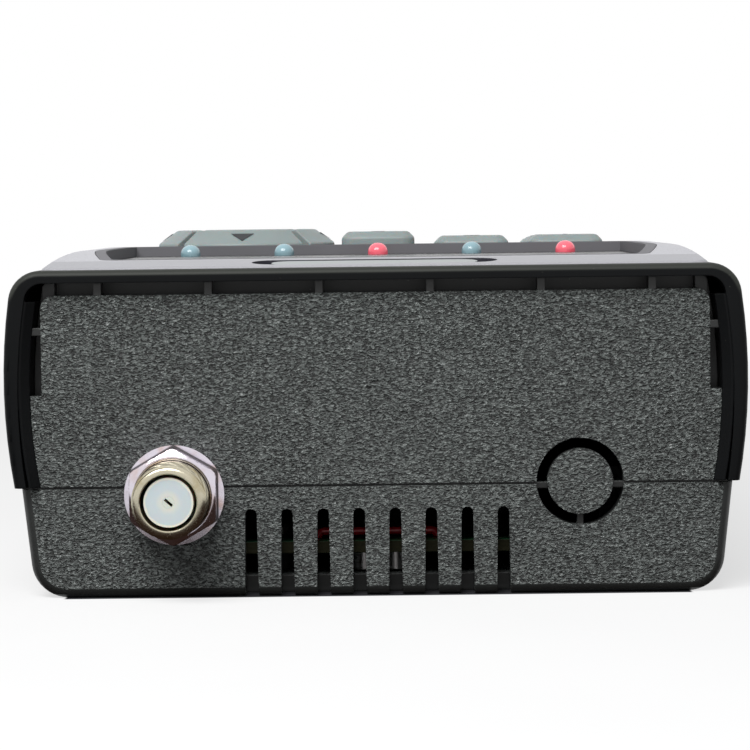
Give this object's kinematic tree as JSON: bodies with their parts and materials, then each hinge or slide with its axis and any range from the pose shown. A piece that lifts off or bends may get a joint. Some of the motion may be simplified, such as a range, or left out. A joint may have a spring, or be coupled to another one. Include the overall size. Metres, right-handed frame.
{
  "type": "satellite signal meter",
  "caption": "Handheld satellite signal meter: two-part case with hood, display window, sprung keys, threaded aerial socket, air slots and a sliding battery door.",
  "frame": {"origin": "centre of the whole object's box in plan, on the flat back it lies on", "axes": "+Z out of the front face, -Y out of the end with the aerial socket, +X to the right of someone who looks at that end"},
  "size_m": [0.0958, 0.1634, 0.047],
  "materials": {
    "textured_shell": "fine wrinkled black plastic",
    "hood_plastic": "smooth satin black plastic",
    "silver_paint": "satin silver paint",
    "badge": "bare brushed badge",
    "window": "dark tinted window",
    "display_frame": "black display frame",
    "display_glass": "dark display glass",
    "key_panel": "dark satin panel",
    "silicone": "pale translucent silicone",
    "mat": "grey silicone mat",
    "red_lamp": "red lamp",
    "blue_lamp": "pale blue lamp",
    "board": "green circuit board",
    "tin": "tinned sheet",
    "nickel": "nickel plate",
    "white_plastic": "white plastic",
    "contact": "plated spring contact",
    "black_part": "black moulded plastic",
    "capacitor_can": "aluminium can",
    "red_wire": "red insulation",
    "ribbon": "white ribbon film",
    "pack_wrap": "blue shrink wrap",
    "steel": "zinc plated steel"
  },
  "bodies": {
    "case": {"rear_shell": "textured_shell", "front_shell": "textured_shell", "hood": "hood_plastic", "face_plate": "silver_paint", "badge_plate": "badge", "display_window": "window", "display_frame": "display_frame", "display_glass": "display_glass", "red_lamps": "red_lamp", "blue_lamps": "blue_lamp", "upper_board": "board", "key_panel": "key_panel", "key_mat": "mat", "main_board": "board", "board_screws": "steel", "tuner_box": "tin", "socket_barrel": "nickel", "socket_insulator": "white_plastic", "socket_contact": "contact", "socket_washer": "nickel", "socket_nut": "nickel", "sounder": "black_part", "board_capacitors": "capacitor_can", "supply_link": "red_wire", "ribbon_headers": "white_plastic", "ribbon_cable": "ribbon", "battery_pack": "pack_wrap", "battery_plug": "white_plastic", "battery_leads": "red_wire", "supply_jack": "black_part", "sound_jack": "black_part", "data_socket": "tin", "switch_body": "tin", "case_screws": "steel"},
    "battery_door": {"battery_door": "textured_shell"},
    "power_switch": {"switch_knob": "black_part"},
    "key_1": {"key_1": "silicone"},
    "key_2": {"key_2": "silicone"},
    "key_3": {"key_3": "silicone"},
    "key_4": {"key_4": "silicone"},
    "key_5": {"key_5": "silicone"},
    "key_6": {"key_6": "silicone"},
    "key_7": {"key_7": "silicone"},
    "key_8": {"key_8": "silicone"},
    "key_9": {"key_9": "silicone"},
    "key_back": {"key_back": "silicone"},
    "key_0": {"key_0": "silicone"},
    "key_enter": {"key_enter": "silicone"},
    "key_menu": {"key_menu": "silicone"},
    "key_power": {"key_power": "silicone"},
    "key_up": {"key_up": "silicone"},
    "key_down": {"key_down": "silicone"},
    "key_left": {"key_left": "silicone"},
    "key_right": {"key_right": "silicone"},
    "key_select": {"key_select": "silicone"}
  },
  "joints": [
    {"name": "key_1_press", "type": "slide", "parent": "case", "child": "key_1", "axis": [0, 0, -1], "range_m": [0, 0.001], "stiffness_N_per_m": 250},
    {"name": "key_2_press", "type": "slide", "parent": "case", "child": "key_2", "axis": [0, 0, -1], "range_m": [0, 0.001], "stiffness_N_per_m": 250},
    {"name": "key_3_press", "type": "slide", "parent": "case", "child": "key_3", "axis": [0, 0, -1], "range_m": [0, 0.001], "stiffness_N_per_m": 250},
    {"name": "key_4_press", "type": "slide", "parent": "case", "child": "key_4", "axis": [0, 0, -1], "range_m": [0, 0.001], "stiffness_N_per_m": 250},
    {"name": "key_5_press", "type": "slide", "parent": "case", "child": "key_5", "axis": [0, 0, -1], "range_m": [0, 0.001], "stiffness_N_per_m": 250},
    {"name": "key_6_press", "type": "slide", "parent": "case", "child": "key_6", "axis": [0, 0, -1], "range_m": [0, 0.001], "stiffness_N_per_m": 250},
    {"name": "key_7_press", "type": "slide", "parent": "case", "child": "key_7", "axis": [0, 0, -1], "range_m": [0, 0.001], "stiffness_N_per_m": 250},
    {"name": "key_8_press", "type": "slide", "parent": "case", "child": "key_8", "axis": [0, 0, -1], "range_m": [0, 0.001], "stiffness_N_per_m": 250},
    {"name": "key_9_press", "type": "slide", "parent": "case", "child": "key_9", "axis": [0, 0, -1], "range_m": [0, 0.001], "stiffness_N_per_m": 250},
    {"name": "key_back_press", "type": "slide", "parent": "case", "child": "key_back", "axis": [0, 0, -1], "range_m": [0, 0.001], "stiffness_N_per_m": 250},
    {"name": "key_0_press", "type": "slide", "parent": "case", "child": "key_0", "axis": [0, 0, -1], "range_m": [0, 0.001], "stiffness_N_per_m": 250},
    {"name": "key_enter_press", "type": "slide", "parent": "case", "child": "key_enter", "axis": [0, 0, -1], "range_m": [0, 0.001], "stiffness_N_per_m": 250},
    {"name": "key_menu_press", "type": "slide", "parent": "case", "child": "key_menu", "axis": [0, 0, -1], "range_m": [0, 0.001], "stiffness_N_per_m": 250},
    {"name": "key_power_press", "type": "slide", "parent": "case", "child": "key_power", "axis": [0, 0, -1], "range_m": [0, 0.001], "stiffness_N_per_m": 250},
    {"name": "key_up_press", "type": "slide", "parent": "case", "child": "key_up", "axis": [0, 0, -1], "range_m": [0, 0.001], "stiffness_N_per_m": 250},
    {"name": "key_down_press", "type": "slide", "parent": "case", "child": "key_down", "axis": [0, 0, -1], "range_m": [0, 0.001], "stiffness_N_per_m": 250},
    {"name": "key_left_press", "type": "slide", "parent": "case", "child": "key_left", "axis": [0, 0, -1], "range_m": [0, 0.001], "stiffness_N_per_m": 250},
    {"name": "key_right_press", "type": "slide", "parent": "case", "child": "key_right", "axis": [0, 0, -1], "range_m": [0, 0.001], "stiffness_N_per_m": 250},
    {"name": "key_select_press", "type": "slide", "parent": "case", "child": "key_select", "axis": [0, 0, -1], "range_m": [0, 0.001], "stiffness_N_per_m": 250},
    {"name": "power_switch_slide", "type": "slide", "parent": "case", "child": "power_switch", "axis": [0, 1, 0], "range_m": [0, 0.003]},
    {"name": "battery_door_slide", "type": "slide", "parent": "case", "child": "battery_door", "axis": [0, 1, 0], "range_m": [0, 0.012]}
  ]
}
